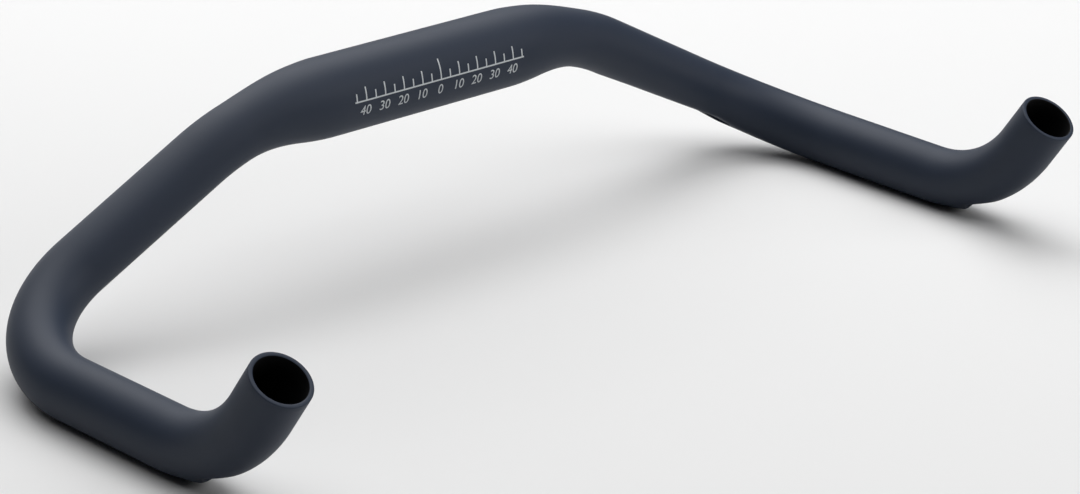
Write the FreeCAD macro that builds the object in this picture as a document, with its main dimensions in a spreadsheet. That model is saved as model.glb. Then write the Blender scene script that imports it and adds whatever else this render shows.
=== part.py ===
import FreeCAD, Part
import math
import os
import Sketcher

# A time trial base bar: one butted alloy tube, swaged from a thick clamp zone down to a
# slim grip diameter, bent down at the shoulders, forward at the corners and up at the ends.
# +X runs along the clamp axis, -Y forward along the horns, +Z up; the origin is the clamp centre.

Vector = FreeCAD.Vector
Rotation = FreeCAD.Rotation

DRIVING_SIZES = [
    ("bar_width", 420, "horn to horn, centre to centre"),
    ("clamp_diameter", 31.7, "outside of the stem clamp zone"),
    ("clamp_width", 96, "length of the full clamp diameter"),
    ("clamp_wall", 2.4, "butted wall at the clamp"),
    ("tube_diameter", 23.8, "outside of the drops, horns and ends"),
    ("tube_wall", 1.8, "wall of the drops, horns and ends"),
    ("swage_length", 46, "taper from clamp to tube, along the tube"),
    ("centre_straight", 124, "straight run before the shoulder bends"),
    ("shoulder_radius", 110, "bend radius at the shoulders"),
    ("drop_angle", 26.6, "slope of the drops below the clamp axis"),
    ("corner_radius", 47.5, "bend radius from drop to horn"),
    ("horn_reach", 130, "clamp axis to the sharp corner of the end bend"),
    ("end_radius", 54, "bend radius of the upturned ends"),
    ("end_angle", 58, "rise of the ends above the horns"),
    ("end_straight", 17.5, "straight run up to the mouth"),
    ("mouth_chamfer", 0.4, "broken edges of the mouths"),
    ("exit_angle", 23.5, "turn of the corner bend at the middle of the cable exit"),
    ("exit_slot_length", 15, "cable hole under the drop, along it"),
    ("exit_slot_width", 7.5, "cable hole under the drop, across it"),
    ("exit_ramp_setback", 2, "end of the shoulder bend to the start of the pressed ramp"),
    ("exit_depth", 2.4, "press at the deep end of the ramp"),
    ("exit_lead", 4, "deep end of the ramp to the middle of the hole"),
    ("exit_lip", 5, "middle of the hole to the lip past it"),
    ("exit_lip_depth", 1.1, "press that is left at that lip"),
    ("exit_fade", 21.5, "lip to where the press ends"),
    ("entry_angle", 17, "turn of the end bend at the lip of the cable entry"),
    ("entry_depth", 1.9, "press of the flat past that lip"),
    ("entry_step", 3, "length of the slope from lip to flat"),
    ("entry_reach", 26, "length of the flat's cut past the lip"),
    ("entry_slot_length", 11, "cable hole under the end bend, along it"),
    ("entry_slot_width", 7, "cable hole under the end bend, across it"),
    ("entry_slot_place", 5, "lip to the middle of that hole"),
    ("brow_height", 0.5, "rise of the lip above the round tube"),
    ("brow_length", 14, "half length of the swelling behind the lip"),
    ("brow_breadth", 9, "half breadth of the swelling"),
    ("brow_thickness", 8, "half thickness of the swelling's ellipsoid"),
]

# Places that follow from the driving sizes, one sheet formula each.
DERIVED_PLACES = [
    ("half_straight", "dims.centre_straight / 2"),
    ("half_clamp", "min(dims.clamp_width / 2; half_straight)"),
    ("shoulder_tangent", "dims.shoulder_radius * tan(dims.drop_angle / 2)"),
    ("shoulder_corner", "half_straight + shoulder_tangent"),
    ("horn_offset", "dims.bar_width / 2"),
    ("drop_length", "(horn_offset - shoulder_corner) / cos(dims.drop_angle)"),
    ("horn_level", "-drop_length * sin(dims.drop_angle)"),
    ("corner_start", "drop_length - dims.corner_radius"),
    ("end_bend_start", "-(dims.horn_reach - dims.end_radius * tan(dims.end_angle / 2))"),
    ("end_bend_centre", "horn_level + dims.end_radius"),
    ("end_bend_stop", "end_bend_start - dims.end_radius * sin(dims.end_angle)"),
    ("end_bend_top", "end_bend_centre - dims.end_radius * cos(dims.end_angle)"),
    ("mouth_forward", "end_bend_stop - dims.end_straight * cos(dims.end_angle)"),
    ("mouth_level", "end_bend_top + dims.end_straight * sin(dims.end_angle)"),
    ("clamp_outside", "dims.clamp_diameter / 2"),
    ("clamp_inside", "clamp_outside - dims.clamp_wall"),
    ("tube_outside", "dims.tube_diameter / 2"),
    ("tube_inside", "tube_outside - dims.tube_wall"),
    ("exit_place", "corner_start + dims.corner_radius * sin(dims.exit_angle)"),
    ("exit_shift", "dims.corner_radius * (1 - cos(dims.exit_angle))"),
    ("ramp_end", "exit_place - dims.exit_lead"),
    ("ramp_start", "shoulder_tangent + dims.exit_ramp_setback"),
    ("exit_lip_place", "exit_place + dims.exit_lip"),
    ("fade_end", "exit_lip_place + dims.exit_fade"),
]

# Stretches that the taper is drawn in, and how far the belly's face reaches up each side of
# the tube, in degrees. Cuts start clear of the tube's skin, and the bore runs past the mouths.
SWAGE_STATIONS = 5
BELLY_ANGLE = 46
CUT_MARGIN = 4
BORE_OVERRUN = 3
SAME_PLACE = 1e-4

doc = FreeCAD.newDocument("handlebar")


def fill_sheet(name, rows):
    """A spreadsheet with an alias for each value in column B."""
    sheet = doc.addObject("Spreadsheet::Sheet", name)
    for number, row in enumerate(rows, start=1):
        sheet.set(f"A{number}", row[0])
        sheet.set(f"B{number}", row[1])
        sheet.setAlias(f"B{number}", row[0])
        if len(row) > 2:
            sheet.set(f"C{number}", row[2])
        doc.recompute()
    return sheet


fill_sheet("dims", [(alias, str(size), note) for alias, size, note in DRIVING_SIZES])
places = fill_sheet("places", [(alias, f"={formula}") for alias, formula in DERIVED_PLACES])


def value(expression):
    """The number that an expression over the two sheets gives now."""
    return float(places.evalExpression(expression))


def seat(feature, body, role, base, axis=Vector(0, 0, 1), angle="0"):
    """Attach to an origin plane of the body, shifted and turned in that plane's own axes."""
    plane = next(item for item in body.Origin.OriginFeatures if item.Role == role)
    feature.AttachmentSupport = (plane, [""])
    feature.MapMode = "FlatFace"
    feature.AttachmentOffset = FreeCAD.Placement(Vector(), Rotation(axis, 1))
    for letter, expression in zip("xyz", base):
        feature.setExpression(f"AttachmentOffset.Base.{letter}", expression)
    feature.setExpression("AttachmentOffset.Rotation.Angle", angle)


def pin(sketch, kind, edge, point, expression):
    """One dimension of a sketch point, measured from the sketch's origin."""
    number = sketch.addConstraint(Sketcher.Constraint(kind, edge, point, value(expression)))
    sketch.setExpression(f"Constraints[{number}]", expression)


def pin_point(sketch, edge, point, place):
    pin(sketch, "DistanceX", edge, point, place[0])
    pin(sketch, "DistanceY", edge, point, place[1])


def at(place):
    return Vector(value(place[0]), value(place[1]), 0)


def pin_radius(sketch, edge, expression):
    number = sketch.addConstraint(Sketcher.Constraint("Radius", edge, value(expression)))
    sketch.setExpression(f"Constraints[{number}]", expression)


def join(sketch, edge, point, other, other_point):
    sketch.addConstraint(Sketcher.Constraint("Coincident", edge, point, other, other_point))


def circle(body, name, radius, role, base, axis=Vector(1, 0, 0), angle="0"):
    """A round section of the tube, square to its centre line."""
    sketch = body.newObject("Sketcher::SketchObject", name)
    seat(sketch, body, role, base, axis, angle)
    sketch.addGeometry(Part.Circle(Vector(), Vector(0, 0, 1), value(radius)))
    join(sketch, 0, 3, -1, 1)
    pin_radius(sketch, 0, radius)
    return sketch


def bellied_circle(body, name, radius, role, base, axis=Vector(1, 0, 0), angle="0"):
    """A round section in two arcs, so that the belly which the presses mark is a face of its own."""
    sketch = body.newObject("Sketcher::SketchObject", name)
    seat(sketch, body, role, base, axis, angle)
    ring = Part.Circle(Vector(), Vector(0, 0, 1), value(radius))
    left = math.radians(-90 - BELLY_ANGLE)
    right = math.radians(-90 + BELLY_ANGLE)
    sketch.addGeometry(Part.ArcOfCircle(ring, left, right))
    sketch.addGeometry(Part.ArcOfCircle(ring, right, left + 2 * math.pi))
    join(sketch, 0, 3, -1, 1)
    pin(sketch, "DistanceX", 0, 1, f"-{radius} * sin({BELLY_ANGLE})")
    pin(sketch, "DistanceX", 0, 2, f"{radius} * sin({BELLY_ANGLE})")
    join(sketch, 1, 1, 0, 2)
    join(sketch, 1, 2, 0, 1)
    for arc in (0, 1):
        pin_radius(sketch, arc, radius)
    return sketch


def polygon(sketch, corners):
    """A closed outline of straight edges through bound corner points."""
    count = len(corners)
    for number, corner in enumerate(corners):
        following = corners[(number + 1) % count]
        sketch.addGeometry(Part.LineSegment(at(corner), at(following)))
    for number, corner in enumerate(corners):
        join(sketch, number, 2, (number + 1) % count, 1)
        pin_point(sketch, number, 1, corner)


def touch(sketch, edge, point, other, other_point):
    sketch.addConstraint(Sketcher.Constraint("Tangent", edge, point, other, other_point))


def slot(sketch, middle, length, width, heading):
    """A round-ended slot: two end arcs and the two straight sides that run on from them."""
    half_run = f"({length} - {width}) / 2"
    ahead = f"{half_run} * cos({heading})"
    aside = f"{half_run} * sin({heading})"
    first = (f"{middle[0]} - {ahead}", f"{middle[1]} - {aside}")
    last = (f"{middle[0]} + {ahead}", f"{middle[1]} + {aside}")
    radius = value(width) / 2
    begin = math.radians(value(heading)) - math.pi / 2
    for centre, turn in ((last, begin), (first, begin + math.pi)):
        ring = Part.Circle(at(centre), Vector(0, 0, 1), radius)
        sketch.addGeometry(Part.ArcOfCircle(ring, turn, turn + math.pi))
    for here, there in ((0, 1), (1, 0)):
        side = Part.LineSegment(sketch.Geometry[here].EndPoint, sketch.Geometry[there].StartPoint)
        sketch.addGeometry(side)
    for edge, centre in ((0, last), (1, first)):
        pin_point(sketch, edge, 3, centre)
        pin_radius(sketch, edge, f"{width} / 2")
    for side, here, there in ((2, 0, 1), (3, 1, 0)):
        touch(sketch, side, 1, here, 2)
        touch(sketch, side, 2, there, 1)


def swage_section(body, number, clamp_radius, tube_radius):
    """One round section of the taper, which follows the start of the shoulder bend."""
    share = number / SWAGE_STATIONS
    eased = 3 * share ** 2 - 2 * share ** 3
    run = f"(places.half_clamp + {share} * dims.swage_length)"
    turn = f"(max(0; {run} - places.half_straight) / dims.shoulder_radius * 180 / pi)"
    forward = f"min({run}; places.half_straight) + dims.shoulder_radius * sin({turn})"
    sink = f"-dims.shoulder_radius * (1 - cos({turn}))"
    radius = f"{clamp_radius} + ({tube_radius} - {clamp_radius}) * {eased}"
    name = f"swage_section_{number}"
    return circle(body, name, radius, "YZ_Plane", ("0", sink, forward), angle=turn), turn


def arc_spine(body, start_turn):
    """What is left of the shoulder bend past the taper, in the upright plane of the clamp."""
    spine = body.newObject("Sketcher::SketchObject", "shoulder_line")
    seat(spine, body, "XZ_Plane", ("0", "0", "0"))
    centre = ("places.half_straight", "-dims.shoulder_radius")
    ring = Part.Circle(at(centre), Vector(0, 0, 1), value("dims.shoulder_radius"))
    last = "(90 - dims.drop_angle)"
    first = f"(90 - {start_turn})"
    spine.addGeometry(Part.ArcOfCircle(ring, value(f"{last} * pi / 180"), value(f"{first} * pi / 180")))
    pin_point(spine, 0, 3, centre)
    pin_radius(spine, 0, "dims.shoulder_radius")
    pin(spine, "DistanceX", 0, 1, f"places.half_straight + dims.shoulder_radius * cos({last})")
    pin(spine, "DistanceX", 0, 2, f"places.half_straight + dims.shoulder_radius * cos({first})")
    return spine


def drop_spine(body):
    """Drop, corner bend and horn, all in the plane that slopes with the drops."""
    spine = body.newObject("Sketcher::SketchObject", "drop_line")
    seat(spine, body, "XY_Plane", ("places.shoulder_corner", "0", "0"), Vector(0, 1, 0), "dims.drop_angle")
    top = ("places.shoulder_tangent", "0")
    turn_in = ("places.corner_start", "0")
    centre = ("places.corner_start", "-dims.corner_radius")
    turn_out = ("places.drop_length", "-dims.corner_radius")
    front = ("places.drop_length", "places.end_bend_start")
    ring = Part.Circle(at(centre), Vector(0, 0, 1), value("dims.corner_radius"))
    spine.addGeometry(Part.LineSegment(at(top), at(turn_in)))
    spine.addGeometry(Part.ArcOfCircle(ring, 0, value("pi / 2")))
    spine.addGeometry(Part.LineSegment(at(turn_out), at(front)))
    pin_point(spine, 0, 1, top)
    join(spine, 0, 2, 1, 2)
    join(spine, 1, 1, 2, 1)
    pin_point(spine, 1, 3, centre)
    pin_radius(spine, 1, "dims.corner_radius")
    pin(spine, "DistanceX", 1, 2, turn_in[0])
    pin(spine, "DistanceY", 1, 1, turn_out[1])
    pin_point(spine, 2, 2, front)
    return spine


def end_spine(body, overrun):
    """End bend and the straight run to the mouth, in the upright plane of the horn."""
    spine = body.newObject("Sketcher::SketchObject", "end_line")
    seat(spine, body, "YZ_Plane", ("0", "0", "places.horn_offset"))
    centre = ("places.end_bend_start", "places.end_bend_centre")
    bend_stop = ("places.end_bend_stop", "places.end_bend_top")
    mouth = (
        f"places.mouth_forward - {overrun} * cos(dims.end_angle)",
        f"places.mouth_level + {overrun} * sin(dims.end_angle)",
    )
    ring = Part.Circle(at(centre), Vector(0, 0, 1), value("dims.end_radius"))
    begin = value("(-90 - dims.end_angle) * pi / 180")
    spine.addGeometry(Part.ArcOfCircle(ring, begin, value("-pi / 2")))
    spine.addGeometry(Part.LineSegment(at(bend_stop), at(mouth)))
    pin_point(spine, 0, 3, centre)
    pin_radius(spine, 0, "dims.end_radius")
    pin(spine, "DistanceY", 0, 1, bend_stop[1])
    pin(spine, "DistanceX", 0, 2, centre[0])
    join(spine, 0, 1, 1, 1)
    pin_point(spine, 1, 2, mouth)
    return spine


def pipe(body, name, section, spine):
    feature = body.newObject("PartDesign::AdditivePipe", name)
    feature.Profile = (section, [""])
    feature.Spine = (spine, [])
    return feature


def cut_through(body, name, sketch):
    """Cut an outline drawn from the side right across the tube."""
    feature = body.newObject("PartDesign::Pocket", name)
    feature.Profile = (sketch, [""])
    feature.SideType = "Symmetric"
    feature.Type = "ThroughAll"
    return feature


def press_exit(body, radius):
    """The long ramp pressed into the underside of the drop, which leads the cable out."""
    sketch = body.newObject("Sketcher::SketchObject", "exit_outline")
    seat(sketch, body, "XZ_Plane", ("places.shoulder_corner", "0", "0"), angle="-dims.drop_angle")
    polygon(sketch, [
        ("places.ramp_start", f"-{radius}"),
        ("places.ramp_end", f"dims.exit_depth - {radius}"),
        ("places.exit_lip_place", f"dims.exit_lip_depth - {radius}"),
        ("places.fade_end", f"-{radius}"),
        ("places.fade_end", f"-{radius} - {CUT_MARGIN}"),
        ("places.ramp_start", f"-{radius} - {CUT_MARGIN}"),
    ])
    return cut_through(body, "exit_ramp", sketch)


def entry_place(lift):
    """Forward and level place over the lip of the cable entry, lifted off the centre line."""
    swing = f"(dims.end_radius + {lift})"
    return (
        f"places.end_bend_start - {swing} * sin(dims.entry_angle)",
        f"places.end_bend_centre - {swing} * cos(dims.entry_angle)",
    )


def press_entry(body, radius):
    """The short flat pressed into the underside of the end bend, past the entry's lip."""
    sketch = body.newObject("Sketcher::SketchObject", "entry_outline")
    forward, level = entry_place(radius)
    seat(sketch, body, "YZ_Plane", (forward, level, "places.horn_offset"), angle="180 - dims.entry_angle")
    polygon(sketch, [
        ("0", f"{CUT_MARGIN}"),
        ("0", "0"),
        ("dims.entry_step", "-dims.entry_depth"),
        ("dims.entry_reach", "-dims.entry_depth"),
        ("dims.entry_reach", f"{CUT_MARGIN}"),
    ])
    return cut_through(body, "entry_flat", sketch)


def half_tube(body, clamp_radius, tube_radius, overrun):
    """One half of a bent round bar: clamp zone, taper, shoulder, drop, corner, horn and end."""
    clamp = circle(body, "clamp_section", clamp_radius, "YZ_Plane", ("0", "0", "0"))
    pad = body.newObject("PartDesign::Pad", "clamp_zone")
    pad.Profile = (clamp, [""])
    pad.setExpression("Length", "places.half_clamp")
    sections = []
    for number in range(SWAGE_STATIONS + 1):
        section, turn = swage_section(body, number, clamp_radius, tube_radius)
        sections.append(section)
    swage = body.newObject("PartDesign::AdditiveLoft", "swage")
    swage.Profile = (sections[0], [""])
    swage.Sections = [(section, [""]) for section in sections[1:]]
    pipe(body, "shoulder", sections[-1], arc_spine(body, turn))
    top = (
        "0",
        "-dims.shoulder_radius * (1 - cos(dims.drop_angle))",
        "places.half_straight + dims.shoulder_radius * sin(dims.drop_angle)",
    )
    drop = bellied_circle(body, "drop_section", tube_radius, "YZ_Plane", top, angle="dims.drop_angle")
    pipe(body, "drop_and_horn", drop, drop_spine(body))
    front = ("places.horn_offset", "places.horn_level", "-places.end_bend_start")
    horn = bellied_circle(body, "horn_section", tube_radius, "XZ_Plane", front)
    pipe(body, "end", horn, end_spine(body, overrun))


def mirror_half(body):
    """The other half, mirrored across the middle of the clamp."""
    doc.recompute()
    mirror = body.newObject("PartDesign::Mirrored", "both_halves")
    mirror.TransformMode = "Whole shape"
    plane = next(item for item in body.Origin.OriginFeatures if item.Role == "YZ_Plane")
    mirror.MirrorPlane = (plane, [""])
    body.Tip = mirror


def raise_brow(body, radius):
    """The swelling behind the entry's lip, a flat ellipsoid that stands proud of the bend."""
    brow = body.newObject("PartDesign::AdditiveEllipsoid", "entry_brow")
    forward, level = entry_place(f"{radius} + dims.brow_height - dims.brow_thickness")
    middle = ("places.horn_offset", forward, level)
    seat(brow, body, "XY_Plane", middle, Vector(1, 0, 0), "-dims.entry_angle")
    brow.setExpression("Radius1", "dims.brow_thickness")
    brow.setExpression("Radius2", "dims.brow_breadth")
    brow.setExpression("Radius3", "dims.brow_length")


def pierce(body, name, sketch, depth):
    """Punch an outline drawn under the tube up into its bore."""
    feature = body.newObject("PartDesign::Pocket", name)
    feature.Profile = (sketch, [""])
    feature.Reversed = True
    feature.setExpression("Length", f"{CUT_MARGIN} + {depth} + 2 * dims.tube_wall")


def pierce_exit(body, radius):
    sketch = body.newObject("Sketcher::SketchObject", "exit_slot_outline")
    below = f"({radius} + {CUT_MARGIN})"
    base = (
        f"places.shoulder_corner - {below} * sin(dims.drop_angle)",
        "0",
        f"-{below} * cos(dims.drop_angle)",
    )
    seat(sketch, body, "XY_Plane", base, Vector(0, 1, 0), "dims.drop_angle")
    middle = ("places.exit_place", "-places.exit_shift")
    slot(sketch, middle, "dims.exit_slot_length", "dims.exit_slot_width", "-dims.exit_angle")
    pierce(body, "exit_hole", sketch, "dims.exit_depth")


def pierce_entry(body, radius):
    sketch = body.newObject("Sketcher::SketchObject", "entry_slot_outline")
    forward, level = entry_place(f"{radius} + {CUT_MARGIN}")
    base = ("places.horn_offset", forward, level)
    seat(sketch, body, "XY_Plane", base, Vector(1, 0, 0), "-dims.entry_angle")
    middle = ("0", "-dims.entry_slot_place")
    slot(sketch, middle, "dims.entry_slot_length", "dims.entry_slot_width", "90")
    pierce(body, "entry_hole", sketch, "dims.entry_depth")


outside = doc.addObject("PartDesign::Body", "tube_outside_form")
half_tube(outside, "places.clamp_outside", "places.tube_outside", "0")
raise_brow(outside, "places.tube_outside")
press_exit(outside, "places.tube_outside")
press_entry(outside, "places.tube_outside")
pierce_exit(outside, "places.tube_outside")
pierce_entry(outside, "places.tube_outside")
mirror_half(outside)

bore = doc.addObject("PartDesign::Body", "tube_bore_form")
half_tube(bore, "places.clamp_inside", "places.tube_inside", BORE_OVERRUN)
press_exit(bore, "places.tube_inside")
press_entry(bore, "places.tube_inside")
mirror_half(bore)

hollow = doc.addObject("Part::Cut", "hollow_tube")
hollow.Base = outside
hollow.Tool = bore
doc.recompute()


def mouth_rims():
    """Edge numbers of the round rims at the two open ends."""
    offset = value("places.horn_offset")
    forward = value("places.mouth_forward")
    level = value("places.mouth_level")
    mouths = [Vector(-offset, forward, level), Vector(offset, forward, level)]
    rims = []
    for number, edge in enumerate(hollow.Shape.Edges, start=1):
        if isinstance(edge.Curve, Part.Circle):
            if any(edge.Curve.Center.isEqual(mouth, SAME_PLACE) for mouth in mouths):
                rims.append(number)
    return rims


handlebar = doc.addObject("Part::Chamfer", "handlebar")
handlebar.Base = hollow
rim = value("dims.mouth_chamfer")
handlebar.Edges = [(number, rim, rim) for number in mouth_rims()]
doc.recompute()

for item in doc.Objects:
    if "Invalid" in item.State or "Error" in item.State:
        raise RuntimeError(f"{item.Name} did not build: {item.State}")
if handlebar.Shape.isNull() or not handlebar.Shape.isValid() or len(handlebar.Shape.Solids) != 1:
    raise RuntimeError("the handlebar is not one valid solid")

os.makedirs("parts", exist_ok=True)
handlebar.Shape.exportStep(f"parts/{handlebar.Label}.step")
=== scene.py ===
import math

import bmesh
import bpy
from mathutils import Matrix, Vector


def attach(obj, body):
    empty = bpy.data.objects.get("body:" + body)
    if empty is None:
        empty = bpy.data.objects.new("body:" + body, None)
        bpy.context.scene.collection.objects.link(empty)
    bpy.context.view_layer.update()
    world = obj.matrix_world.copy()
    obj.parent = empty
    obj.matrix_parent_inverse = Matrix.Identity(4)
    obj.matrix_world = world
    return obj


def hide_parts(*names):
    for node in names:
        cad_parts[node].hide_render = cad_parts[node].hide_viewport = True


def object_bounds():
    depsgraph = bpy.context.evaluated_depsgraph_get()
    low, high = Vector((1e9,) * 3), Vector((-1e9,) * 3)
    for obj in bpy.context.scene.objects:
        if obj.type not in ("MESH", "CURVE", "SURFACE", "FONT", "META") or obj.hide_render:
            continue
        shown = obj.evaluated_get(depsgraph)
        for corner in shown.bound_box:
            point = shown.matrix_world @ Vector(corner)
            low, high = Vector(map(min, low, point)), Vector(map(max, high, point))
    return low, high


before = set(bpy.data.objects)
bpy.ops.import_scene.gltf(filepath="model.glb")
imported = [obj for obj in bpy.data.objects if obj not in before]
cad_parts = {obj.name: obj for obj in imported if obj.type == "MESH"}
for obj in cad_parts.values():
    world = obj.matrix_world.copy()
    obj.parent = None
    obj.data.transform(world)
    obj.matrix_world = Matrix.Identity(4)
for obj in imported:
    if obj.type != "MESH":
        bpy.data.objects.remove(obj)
cad_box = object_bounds()


# The tube is one length of butted alloy, thick at the stem clamp and swaged slim beyond it.
# It is bent down at the shoulders, forward at the corners and up at the ends, which stay open.
# Half of it is drawn from the clamp outwards, once for the outside and once for the bore.
CLAMP_RADIUS = 0.01585
CLAMP_BORE = 0.01345
TUBE_RADIUS = 0.0119
TUBE_BORE = 0.0101
HALF_CLAMP = 0.048
HALF_STRAIGHT = 0.062
SWAGE_LENGTH = 0.046
SHOULDER_RADIUS = 0.110
DROP_ANGLE = math.radians(26.6)
HALF_WIDTH = 0.210
CORNER_RADIUS = 0.0475
HORN_REACH = 0.130
END_RADIUS = 0.054
END_ANGLE = math.radians(58)
END_STRAIGHT = 0.0175
QUARTER_TURN = math.pi / 2
SIDES = 96
CLAMP_STEPS = 4
SWAGE_STEPS = 24
SHOULDER_STEPS = 6
DROP_STEPS = 18
CORNER_STEPS = 26
HORN_STEPS = 8
END_BEND_STEPS = 28
END_STEPS = 3

shoulder_tangent = SHOULDER_RADIUS * math.tan(DROP_ANGLE / 2)
shoulder_corner = HALF_STRAIGHT + shoulder_tangent
drop_length = (HALF_WIDTH - shoulder_corner) / math.cos(DROP_ANGLE)
horn_level = -drop_length * math.sin(DROP_ANGLE)
end_bend_start = HORN_REACH - END_RADIUS * math.tan(END_ANGLE / 2)
drop_way = Vector((math.cos(DROP_ANGLE), 0, -math.sin(DROP_ANGLE)))
drop_up = Vector((math.sin(DROP_ANGLE), 0, math.cos(DROP_ANGLE)))
end_way = Vector((0, -math.cos(END_ANGLE), math.sin(END_ANGLE)))
corner_centre = Vector((shoulder_corner, -CORNER_RADIUS, 0)) + (drop_length - CORNER_RADIUS) * drop_way
end_centre = Vector((HALF_WIDTH, -end_bend_start, horn_level + END_RADIUS))


def extrude_rim(skin, rim, shift):
    """One more straight stretch of wall on the open rim."""
    grown = bmesh.ops.extrude_edge_only(skin, edges=rim)["geom"]
    verts = [part for part in grown if isinstance(part, bmesh.types.BMVert)]
    bmesh.ops.translate(skin, verts=verts, vec=shift)
    return [part for part in grown if isinstance(part, bmesh.types.BMEdge)], verts


def run_straight(skin, rim, shift, steps):
    """A straight run of wall, in even steps."""
    for _ in range(steps):
        rim, _verts = extrude_rim(skin, rim, shift / steps)
    return rim


def bend(skin, rim, centre, axis, angle, steps):
    """Sweep the open rim round a bend."""
    verts = list({vert for edge in rim for vert in edge.verts})
    spun = bmesh.ops.spin(skin, geom=verts + rim, cent=centre, axis=axis, angle=angle, steps=steps)
    return [part for part in spun["geom_last"] if isinstance(part, bmesh.types.BMEdge)]


def swage(skin, rim, clamp_radius, tube_radius):
    """The smooth taper, whose slim end already follows the shoulder bend."""
    stride = SWAGE_LENGTH / SWAGE_STEPS
    radius = clamp_radius
    centre = Vector((HALF_CLAMP, 0, 0))
    heading = 0.0
    for step in range(1, SWAGE_STEPS + 1):
        share = step / SWAGE_STEPS
        following = clamp_radius + (tube_radius - clamp_radius) * (3 * share**2 - 2 * share**3)
        past = HALF_CLAMP + step * stride - HALF_STRAIGHT
        turn = min(stride, max(0.0, past)) / SHOULDER_RADIUS
        mean = heading + turn / 2
        shift = stride * Vector((math.cos(mean), 0, -math.sin(mean)))
        rim, verts = extrude_rim(skin, rim, shift)
        centre = centre + shift
        heading += turn
        growth = following / radius
        bmesh.ops.rotate(skin, verts=verts, cent=centre, matrix=Matrix.Rotation(turn, 3, "Y"))
        bmesh.ops.scale(skin, verts=verts, vec=(growth,) * 3, space=Matrix.Translation(-centre))
        radius = following
    return rim, heading


def draw_half(clamp_radius, tube_radius, fineness):
    """One half of a round skin, from the middle of the clamp to the mouth."""
    skin = bmesh.new()
    facing = Matrix.Rotation(QUARTER_TURN, 4, "Y")
    bmesh.ops.create_circle(skin, segments=SIDES, radius=clamp_radius, matrix=facing)
    rim = run_straight(skin, skin.edges[:], Vector((HALF_CLAMP, 0, 0)), CLAMP_STEPS)
    rim, heading = swage(skin, rim, clamp_radius, tube_radius)
    shoulder_centre = Vector((HALF_STRAIGHT, 0, -SHOULDER_RADIUS))
    shoulder_left = DROP_ANGLE - heading
    rim = bend(skin, rim, shoulder_centre, Vector((0, 1, 0)), shoulder_left, SHOULDER_STEPS * fineness)
    drop_run = drop_length - CORNER_RADIUS - shoulder_tangent
    rim = run_straight(skin, rim, drop_run * drop_way, DROP_STEPS * fineness)
    rim = bend(skin, rim, corner_centre, drop_up, -QUARTER_TURN, CORNER_STEPS * fineness)
    horn_run = Vector((0, CORNER_RADIUS - end_bend_start, 0))
    rim = run_straight(skin, rim, horn_run, HORN_STEPS * fineness)
    rim = bend(skin, rim, end_centre, Vector((1, 0, 0)), -END_ANGLE, END_BEND_STEPS * fineness)
    run_straight(skin, rim, END_STRAIGHT * end_way, END_STEPS * fineness)
    return skin


# Under each drop a long ramp is pressed into the tube, so that the cable inside comes out
# through a slot at its deep end; the press leaves a lip past the slot and fades in the corner.
EXIT_ANGLE = math.radians(23.5)
EXIT_SLOT_SIZE = (0.015, 0.0075)
RAMP_SETBACK = 0.002
RAMP_DEPTH = 0.0024
RAMP_LEAD = 0.004
EXIT_LIP = 0.005
EXIT_LIP_DEPTH = 0.0011
EXIT_FADE = 0.0215
EXIT_SOFTNESS = 0.0007

drop_frame = Matrix((
    (drop_way.x, 0, drop_up.x, shoulder_corner),
    (0, 1, 0, 0),
    (drop_way.z, 0, drop_up.z, 0),
    (0, 0, 0, 1),
))
exit_place = drop_length - CORNER_RADIUS + CORNER_RADIUS * math.sin(EXIT_ANGLE)
exit_shift = CORNER_RADIUS * (1 - math.cos(EXIT_ANGLE))
exit_ramp = [
    (shoulder_tangent + RAMP_SETBACK, 0.0),
    (exit_place - RAMP_LEAD, RAMP_DEPTH),
    (exit_place + EXIT_LIP, EXIT_LIP_DEPTH),
    (exit_place + EXIT_LIP + EXIT_FADE, 0.0),
]


def blend_max(first, second, softness):
    """The larger of two heights, with a rounded corner where they meet."""
    gap = first - second
    return (first + second + math.sqrt(gap * gap + softness * softness)) / 2


def along(knots, place):
    """Height of a line of straight stretches at one place."""
    for (start, low), (stop, high) in zip(knots, knots[1:]):
        if start <= place <= stop:
            return low + (high - low) * (place - start) / (stop - start)
    return 0.0


def press_exit(skin, radius):
    """Lift the underside of the drop to the ramp."""
    to_drop = drop_frame.inverted()
    for vert in skin.verts:
        place = to_drop @ vert.co
        depth = along(exit_ramp, place.x)
        if depth > 0 and place.z < 0 and vert.co.x > shoulder_corner:
            place.z = blend_max(place.z, depth - radius, min(EXIT_SOFTNESS, depth))
            vert.co = drop_frame @ place


# Under each end bend the cable goes in through a second slot. The wall swells into a brow
# behind it and drops sharply to a short pressed flat, which runs out as the bend turns up.
ENTRY_ANGLE = math.radians(17)
ENTRY_DEPTH = 0.0019
ENTRY_STEP = 0.003
ENTRY_REACH = 0.026
ENTRY_SOFTNESS = 0.00042
ENTRY_SLOT_PLACE = 0.005
ENTRY_SLOT_SIZE = (0.011, 0.007)
BROW_HEIGHT = 0.0005
BROW_LENGTH = 0.014
BROW_BREADTH = 0.009
BROW_THICKNESS = 0.008
BROW_SOFTNESS = 0.0012

entry_way = Vector((0, -math.cos(ENTRY_ANGLE), math.sin(ENTRY_ANGLE)))
entry_out = Vector((0, -math.sin(ENTRY_ANGLE), -math.cos(ENTRY_ANGLE)))
entry_slope = [(0.0, 0.0), (ENTRY_STEP, -ENTRY_DEPTH), (ENTRY_REACH, -ENTRY_DEPTH)]


def entry_frame(radius):
    """Axes at the lip of the entry: across the tube, along it and out of its wall."""
    lip = end_centre + (END_RADIUS + radius) * entry_out
    return Matrix((
        (-1, entry_way.x, entry_out.x, lip.x),
        (0, entry_way.y, entry_out.y, lip.y),
        (0, entry_way.z, entry_out.z, lip.z),
        (0, 0, 0, 1),
    ))


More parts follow.
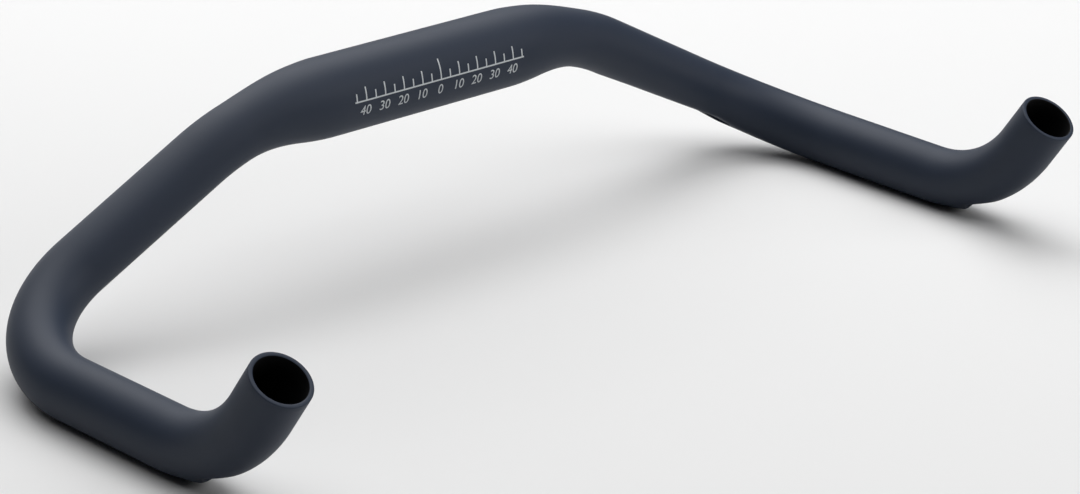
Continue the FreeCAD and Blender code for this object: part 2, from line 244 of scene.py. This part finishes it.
def press_entry(skin, radius, brow):
    """Swell the wall behind the lip and flatten it in front."""
    to_world = entry_frame(radius)
    to_entry = to_world.inverted()
    for vert in skin.verts:
        if vert.co.x < HALF_WIDTH - CORNER_RADIUS:
            continue
        place = to_entry @ vert.co
        if abs(place.y) > ENTRY_REACH or place.z < -radius:
            continue
        height = place.z
        bulge = 1 - (place.x / BROW_BREADTH) ** 2 - (place.y / BROW_LENGTH) ** 2
        if brow > 0 and bulge > 0:
            crest = brow - BROW_THICKNESS + BROW_THICKNESS * math.sqrt(bulge)
            height = blend_max(height, crest, BROW_SOFTNESS * bulge)
        if place.y > 0:
            height = -blend_max(-height, -along(entry_slope, place.y), ENTRY_SOFTNESS)
        place.z = height
        vert.co = to_world @ place


# The outside and the bore are pressed alike, so that the wall stays even. They meet at the two
# mouths, whose edges are broken, and the four slots are punched through from below.
OUTSIDE_FINENESS = 2
BORE_FINENESS = 1
BORE_MATERIAL = 1
RIM_ROUND = 0.0005
RIM_SEGMENTS = 3
PUNCH_REACH = 0.0055
PUNCH_SIDES = 32
SEAM_WIDTH = 1e-6
UNMERGED = -1.0
SLIVER = 0.00003
SHARP_ANGLE = math.radians(40)


def complete(skin):
    """Add the mirrored half, with every face pointing away from the tube's middle."""
    half = skin.verts[:] + skin.edges[:] + skin.faces[:]
    bmesh.ops.mirror(skin, geom=half, axis="X", merge_dist=SEAM_WIDTH)
    bmesh.ops.recalc_face_normals(skin, faces=skin.faces[:])


def slot_punch(punches, size, to_world):
    """A round-ended punch, as long and broad as the slot and longer than the wall is thick."""
    length, breadth = size
    ring = bmesh.ops.create_circle(punches, segments=PUNCH_SIDES, radius=breadth / 2, cap_ends=True)["verts"]
    for vert in ring:
        vert.co.x += math.copysign((length - breadth) / 2, vert.co.x)
    bmesh.ops.translate(punches, verts=ring, vec=(0, 0, -PUNCH_REACH))
    raised = bmesh.ops.extrude_face_region(punches, geom=list(ring[0].link_faces))["geom"]
    tops = [part for part in raised if isinstance(part, bmesh.types.BMVert)]
    bmesh.ops.translate(punches, verts=tops, vec=(0, 0, 2 * PUNCH_REACH))
    bmesh.ops.transform(punches, verts=ring + tops, matrix=to_world)


outside = draw_half(CLAMP_RADIUS, TUBE_RADIUS, OUTSIDE_FINENESS)
press_exit(outside, TUBE_RADIUS)
press_entry(outside, TUBE_RADIUS, BROW_HEIGHT)
complete(outside)
bore = draw_half(CLAMP_BORE, TUBE_BORE, BORE_FINENESS)
press_exit(bore, TUBE_BORE)
press_entry(bore, TUBE_BORE, 0.0)
complete(bore)
bmesh.ops.reverse_faces(bore, faces=bore.faces[:])
# The bore faces take the finish whose near-black colour is painted shade.
for face in bore.faces:
    face.material_index = BORE_MATERIAL

bar_mesh = bpy.data.meshes.new("handlebar_tube")
bore.to_mesh(bar_mesh)
bore.free()
outside.from_mesh(bar_mesh)
mouths = [edge for edge in outside.edges if edge.is_boundary]
for side in (-1, 1):
    rims = [edge for edge in mouths if side * edge.verts[0].co.x > 0]
    bmesh.ops.bridge_loops(outside, edges=rims)
bmesh.ops.bevel(
    outside, geom=mouths, offset=RIM_ROUND, segments=RIM_SEGMENTS, profile=0.5, affect="EDGES", material=-1
)
outside.to_mesh(bar_mesh)
outside.free()

punches = bmesh.new()
exit_slot = drop_frame @ Matrix.Translation((exit_place, -exit_shift, -TUBE_RADIUS))
slot_punch(punches, EXIT_SLOT_SIZE, exit_slot @ Matrix.Rotation(-EXIT_ANGLE, 4, "Z"))
entry_slot = entry_frame(TUBE_RADIUS) @ Matrix.Translation((0, ENTRY_SLOT_PLACE, 0))
slot_punch(punches, ENTRY_SLOT_SIZE, entry_slot @ Matrix.Rotation(QUARTER_TURN, 4, "Z"))
one_side = punches.verts[:] + punches.edges[:] + punches.faces[:]
bmesh.ops.mirror(punches, geom=one_side, axis="X", merge_dist=UNMERGED)
bmesh.ops.recalc_face_normals(punches, faces=punches.faces[:])
punch_mesh = bpy.data.meshes.new("slot_punches")
punches.to_mesh(punch_mesh)
punches.free()
punch = bpy.data.objects.new("slot_punches", punch_mesh)
bpy.context.scene.collection.objects.link(punch)

bar = bpy.data.objects.new("handlebar_tube", bar_mesh)
bpy.context.scene.collection.objects.link(bar)
piercing = bar.modifiers.new("pierce", "BOOLEAN")
piercing.operation = "DIFFERENCE"
piercing.solver = "EXACT"
piercing.object = punch
evaluated = bar.evaluated_get(bpy.context.evaluated_depsgraph_get())
pierced = bpy.data.meshes.new_from_object(evaluated)
bar.modifiers.clear()
bar.data = pierced
bpy.data.objects.remove(punch)

trimmed = bmesh.new()
trimmed.from_mesh(pierced)
bmesh.ops.dissolve_degenerate(trimmed, edges=trimmed.edges[:], dist=SLIVER)
splits = [vert for vert in trimmed.verts if len(vert.link_edges) == 2]
bmesh.ops.dissolve_verts(trimmed, verts=splits)
trimmed.to_mesh(pierced)
trimmed.free()
bar.data.shade_smooth()
bar.data.set_sharp_from_angle(angle=SHARP_ANGLE)


# The outside is blasted with fine beads and anodised black, which leaves a satin skin with a
# faint cloud and a tight grain. The bore is anodised black with it, and its colour is made darker
# still as painted shade, for the shade deep inside the tube as far as the mouths show it.
ANODISED_DEEP = (0.0172, 0.0264, 0.0480, 1)
ANODISED_PALE = (0.0212, 0.0320, 0.0570, 1)
# The bore's two colours are anodised black, darkened far below the outside's as painted shade.
BORE_PAINTED_SHADE_DEEP = (0.0035, 0.0035, 0.0040, 1)
BORE_PAINTED_SHADE_PALE = (0.0065, 0.0065, 0.0070, 1)
GRAIN_SCALE = 4500.0
GRAIN_DETAIL = 2.0
GRAIN_STRENGTH = 0.12
GRAIN_DEPTH = 0.00005


def clouded_finish(name, gloss, scale, detail, deep, pale, roughness):
    """A finish whose colour and roughness drift a little from place to place."""
    material = bpy.data.materials.new(name)
    material.use_nodes = True
    nodes = material.node_tree.nodes
    links = material.node_tree.links
    shader = nodes["Principled BSDF"]
    shader.inputs["Specular IOR Level"].default_value = gloss
    where = nodes.new("ShaderNodeTexCoord")
    cloud = nodes.new("ShaderNodeTexNoise")
    cloud.inputs["Scale"].default_value = scale
    cloud.inputs["Detail"].default_value = detail
    links.new(where.outputs["Object"], cloud.inputs["Vector"])
    tint = nodes.new("ShaderNodeMixRGB")
    tint.inputs["Color1"].default_value = deep
    tint.inputs["Color2"].default_value = pale
    links.new(cloud.outputs["Fac"], tint.inputs["Fac"])
    links.new(tint.outputs["Color"], shader.inputs["Base Color"])
    dullness = nodes.new("ShaderNodeMapRange")
    dullness.inputs["To Min"].default_value = roughness[0]
    dullness.inputs["To Max"].default_value = roughness[1]
    links.new(cloud.outputs["Fac"], dullness.inputs["Value"])
    links.new(dullness.outputs["Result"], shader.inputs["Roughness"])
    return material


anodised = clouded_finish(
    "black_anodised_alloy",
    gloss=0.38, scale=35.0, detail=3.0, deep=ANODISED_DEEP, pale=ANODISED_PALE, roughness=(0.54, 0.62),
)
nodes = anodised.node_tree.nodes
links = anodised.node_tree.links
grain = nodes.new("ShaderNodeTexNoise")
grain.inputs["Scale"].default_value = GRAIN_SCALE
grain.inputs["Detail"].default_value = GRAIN_DETAIL
links.new(nodes["Texture Coordinate"].outputs["Object"], grain.inputs["Vector"])
blast = nodes.new("ShaderNodeBump")
blast.inputs["Strength"].default_value = GRAIN_STRENGTH
blast.inputs["Distance"].default_value = GRAIN_DEPTH
links.new(grain.outputs["Fac"], blast.inputs["Height"])
links.new(blast.outputs["Normal"], nodes["Principled BSDF"].inputs["Normal"])
bar.data.materials.append(anodised)

# The bore's finish: anodised black with painted shade, much darker than the outside, for the shade inside
# the tube.
anodised_bore_painted_shade = clouded_finish(
    "anodised_bore_painted_shade",
    gloss=0.15, scale=60.0, detail=3.0, deep=BORE_PAINTED_SHADE_DEEP, pale=BORE_PAINTED_SHADE_PALE, roughness=(0.62, 0.75),
)
bar.data.materials.append(anodised_bore_painted_shade)

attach(bar, "root")
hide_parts("handlebar")


# A plain centring scale is pad-printed in white ink on the front of the clamp zone. Its marks
# give the distance from the middle in millimetres, for lining up the stem and its neighbours.
SCALE_ANGLE = math.radians(4)
SCALE_MARKS = 9
NUMBER_EVERY = 2
MARK_PITCH = 0.005
MARK_BREADTH = 0.0006
SHORT_MARK = 0.003
LONG_MARK = 0.005
CENTRE_MARK = 0.008
LINE_OVERHANG = 0.001
NUMBER_SIZE = 0.0058
NUMBER_GAP = 0.0010
MILLIMETRES = 1000
INK_SLICE = 0.0005
INK_SINK = 0.00003
INK_THICKNESS = 0.00006
KNIFE_WIDTH = 1e-7
INK_DEEP = (0.70, 0.74, 0.77, 1)
INK_PALE = (0.80, 0.83, 0.85, 1)

ink_radius = CLAMP_RADIUS + INK_THICKNESS - INK_SINK
line_length = 2 * (SCALE_MARKS * MARK_PITCH + LINE_OVERHANG)
marks = range(-SCALE_MARKS, SCALE_MARKS + 1)


def draw_mark(ink, place, breadth, low, height):
    """A flat bar of ink, stretched from a unit square, that stands at its place along the scale."""
    stretch = Matrix.Diagonal((breadth, height, 1, 1))
    middle = Matrix.Translation((place, low + height / 2, 0))
    bmesh.ops.create_grid(ink, x_segments=1, y_segments=1, size=0.5, matrix=middle @ stretch)


def mark_height(mark):
    """The middle mark stands tallest, and those with numbers stand above the rest."""
    if mark == 0:
        return CENTRE_MARK
    return LONG_MARK if mark % NUMBER_EVERY == 0 else SHORT_MARK


def draw_number(ink, number, place):
    """A plain number that hangs under its mark."""
    writing = bpy.data.curves.new("scale_number", "FONT")
    writing.body = str(number)
    writing.size = NUMBER_SIZE
    writing.align_x = "CENTER"
    writing.align_y = "TOP"
    written = bpy.data.objects.new("scale_number", writing)
    flat = bpy.data.meshes.new_from_object(written)
    flat.transform(Matrix.Translation((place, -NUMBER_GAP, 0)))
    ink.from_mesh(flat)
    bpy.data.objects.remove(written)


ink = bmesh.new()
for mark in marks:
    if mark % NUMBER_EVERY == 0:
        draw_number(ink, round(abs(mark) * MARK_PITCH * MILLIMETRES), mark * MARK_PITCH)
bmesh.ops.remove_doubles(ink, verts=ink.verts[:], dist=SEAM_WIDTH)
draw_mark(ink, 0.0, line_length, 0.0, MARK_BREADTH)
for mark in marks:
    draw_mark(ink, mark * MARK_PITCH, MARK_BREADTH, MARK_BREADTH, mark_height(mark))

lowest = min(vert.co.y for vert in ink.verts)
slices = math.ceil((CENTRE_MARK + MARK_BREADTH - lowest) / INK_SLICE)
for cut in range(1, slices):
    drawing = ink.verts[:] + ink.edges[:] + ink.faces[:]
    level = Vector((0, lowest + cut * INK_SLICE, 0))
    bmesh.ops.bisect_plane(ink, geom=drawing, dist=KNIFE_WIDTH, plane_co=level, plane_no=(0, 1, 0))
for vert in ink.verts:
    turn = SCALE_ANGLE + vert.co.y / CLAMP_RADIUS
    vert.co = Vector((vert.co.x, -ink_radius * math.cos(turn), ink_radius * math.sin(turn)))
ink.normal_update()
bmesh.ops.solidify(ink, geom=ink.faces[:], thickness=INK_THICKNESS)
scale_mesh = bpy.data.meshes.new("centring_scale")
ink.to_mesh(scale_mesh)
ink.free()
scale = bpy.data.objects.new("centring_scale", scale_mesh)
bpy.context.scene.collection.objects.link(scale)

white_ink = clouded_finish(
    "white_ink",
    gloss=0.3, scale=900.0, detail=2.0, deep=INK_DEEP, pale=INK_PALE, roughness=(0.5, 0.65),
)
scale.data.materials.append(white_ink)

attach(scale, "root")


# The floor is a plain pale paper that the horns stand on, wide enough to reach past every view.
# It shows white to the eye and in the gloss of the tube, and throws less light up from below.
FLOOR_REACH = 8.0
FLOOR_ROUGHNESS = 0.9
FLOOR_BOUNCE = (0.35, 0.35, 0.35, 1)
FLOOR_SHOWN = (0.80, 0.80, 0.80, 1)

floor_mesh = bpy.data.meshes.new("floor")
sheet = bmesh.new()
bmesh.ops.create_grid(sheet, x_segments=1, y_segments=1, size=FLOOR_REACH)
bmesh.ops.translate(sheet, verts=sheet.verts[:], vec=(0, 0, cad_box[0].z))
sheet.to_mesh(floor_mesh)
sheet.free()
floor = bpy.data.objects.new("floor", floor_mesh)
bpy.context.scene.collection.objects.link(floor)

paper = bpy.data.materials.new("pale_paper")
paper.use_nodes = True
nodes = paper.node_tree.nodes
links = paper.node_tree.links
shader = nodes["Principled BSDF"]
shader.inputs["Roughness"].default_value = FLOOR_ROUGHNESS
ray = nodes.new("ShaderNodeLightPath")
mirrored = nodes.new("ShaderNodeMath")
mirrored.operation = "MAXIMUM"
links.new(ray.outputs["Is Glossy Ray"], mirrored.inputs[0])
links.new(ray.outputs["Is Transmission Ray"], mirrored.inputs[1])
seen = nodes.new("ShaderNodeMath")
seen.operation = "MAXIMUM"
links.new(ray.outputs["Is Camera Ray"], seen.inputs[0])
links.new(mirrored.outputs["Value"], seen.inputs[1])
paleness = nodes.new("ShaderNodeMixRGB")
paleness.inputs["Color1"].default_value = FLOOR_BOUNCE
paleness.inputs["Color2"].default_value = FLOOR_SHOWN
links.new(seen.outputs["Value"], paleness.inputs["Fac"])
links.new(paleness.outputs["Color"], shader.inputs["Base Color"])
floor.data.materials.append(paper)


# The light is a studio's: a broad soft sky overhead, a large lamp high behind on the rider's left,
# a low one behind and a fill in front, all facing the bar in a dark room.
LIT_POINT = Vector((0, -0.06, -0.02))
SKY_BREADTH = math.radians(74)
SKY_STRENGTH = 1.57
ROOM_GLOW = 0.02

sky = bpy.data.lights.new("overhead", "SUN")
sky.angle = SKY_BREADTH
sky.energy = SKY_STRENGTH
bpy.context.scene.collection.objects.link(bpy.data.objects.new("overhead", sky))


def soft_lamp(name, place, size, power):
    """A square soft lamp that faces the bar."""
    lamp = bpy.data.lights.new(name, "AREA")
    lamp.size = size
    lamp.energy = power
    light = bpy.data.objects.new(name, lamp)
    light.location = place
    light.rotation_euler = (LIT_POINT - Vector(place)).to_track_quat("-Z", "Y").to_euler()
    bpy.context.scene.collection.objects.link(light)


soft_lamp("high_back", place=(0.6, 0.8, 1.2), size=1.6, power=18)
soft_lamp("low_back", place=(0.3, 1.8, 0.5), size=1.4, power=5.8)
soft_lamp("front_fill", place=(1.0, -1.4, 0.9), size=1.2, power=11)

room = bpy.data.worlds.new("dark_room")
room.use_nodes = True
room.node_tree.nodes["Background"].inputs["Color"].default_value = (1, 1, 1, 1)
room.node_tree.nodes["Background"].inputs["Strength"].default_value = ROOM_GLOW
bpy.context.scene.world = room
bpy.context.scene.view_settings.view_transform = "Standard"


# The camera stands in front of the bar on the rider's right, above it and a little tilted,
# with a long lens, about a metre and a half away. Its place was fitted to the photo's outlines.
CAMERA_PLACE = (-0.989734, -0.992371, 0.477844)
CAMERA_AZIMUTH = math.radians(-47.11)
CAMERA_ELEVATION = math.radians(21.38)
CAMERA_ROLL = math.radians(3.19)
CAMERA_LENS = 125.739
SENSOR_WIDTH = 36

lens = bpy.data.cameras.new("camera")
lens.lens = CAMERA_LENS
lens.sensor_width = SENSOR_WIDTH
camera = bpy.data.objects.new("camera", lens)
camera.matrix_world = (
    Matrix.Translation(CAMERA_PLACE)
    @ Matrix.Rotation(CAMERA_AZIMUTH, 4, "Z")
    @ Matrix.Rotation(QUARTER_TURN - CAMERA_ELEVATION, 4, "X")
    @ Matrix.Rotation(CAMERA_ROLL, 4, "Z")
)
bpy.context.scene.collection.objects.link(camera)
bpy.context.scene.camera = camera
